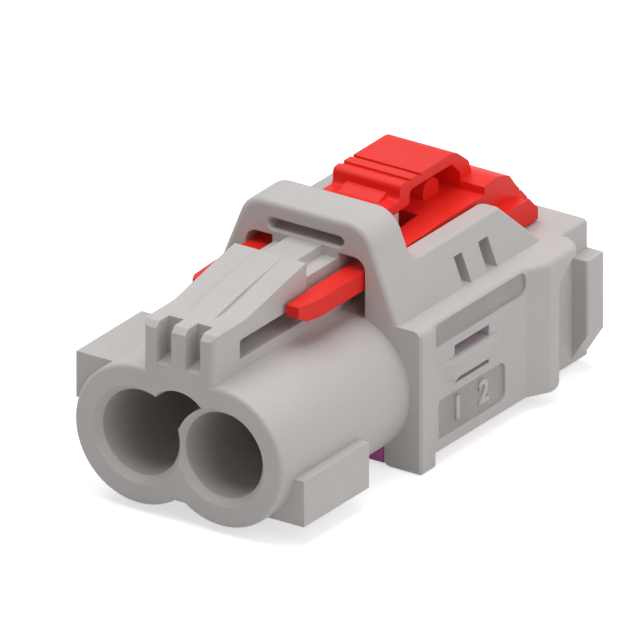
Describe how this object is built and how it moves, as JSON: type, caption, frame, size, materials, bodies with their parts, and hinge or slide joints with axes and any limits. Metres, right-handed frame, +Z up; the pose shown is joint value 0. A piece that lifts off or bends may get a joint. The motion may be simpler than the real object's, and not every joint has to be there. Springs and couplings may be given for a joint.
{
  "type": "dual coaxial jack",
  "caption": "Two-way coaxial cable jack housing with twin barrels, sprung latch, sliding latch lock, terminal lock from below and a contact set in each bore.",
  "frame": {"origin": "on the mating face, midway between the two bore axes", "axes": "+X across the bores to the right seen from the mating face, +Y from the mating face to the cable end, +Z up through the latch"},
  "size_m": [0.0198, 0.0364, 0.017],
  "materials": {
    "housing_plastic": "fine matt moulded surface, light warm grey",
    "red_plastic": "satin moulded surface, red",
    "violet_plastic": "satin moulded surface, violet",
    "cover_plastic": "fine matt moulded surface, light warm grey",
    "seal_rubber": "soft silicone, dull blue",
    "sleeve_metal": "stamped spring brass, thinly gold plated",
    "contact_metal": "turned brass, nickel plated",
    "insulator_plastic": "waxy off-white moulding",
    "gold_plated": "gold plated",
    "ferrule_metal": "drawn tube, tin plated"
  },
  "bodies": {
    "housing": {"housing": "housing_plastic", "rear_cover": "cover_plastic", "wire_seal_left": "seal_rubber", "wire_seal_right": "seal_rubber", "contact_sleeve_left": "sleeve_metal", "contact_sleeve_right": "sleeve_metal", "contact_body_left": "contact_metal", "contact_body_right": "contact_metal", "insulator_left": "insulator_plastic", "insulator_right": "insulator_plastic", "centre_contact_left": "gold_plated", "centre_contact_right": "gold_plated", "crimp_ferrule_left": "ferrule_metal", "crimp_ferrule_right": "ferrule_metal"},
    "position_lock": {"position_lock": "red_plastic"},
    "terminal_lock": {"terminal_lock": "violet_plastic"}
  },
  "joints": [
    {"name": "position_lock_slide", "type": "slide", "parent": "housing", "child": "position_lock", "axis": [0, -1, 0], "range_m": [0, 0.002]},
    {"name": "terminal_lock_slide", "type": "slide", "parent": "housing", "child": "terminal_lock", "axis": [0, 0, -1], "range_m": [0, 0.0015]}
  ]
}
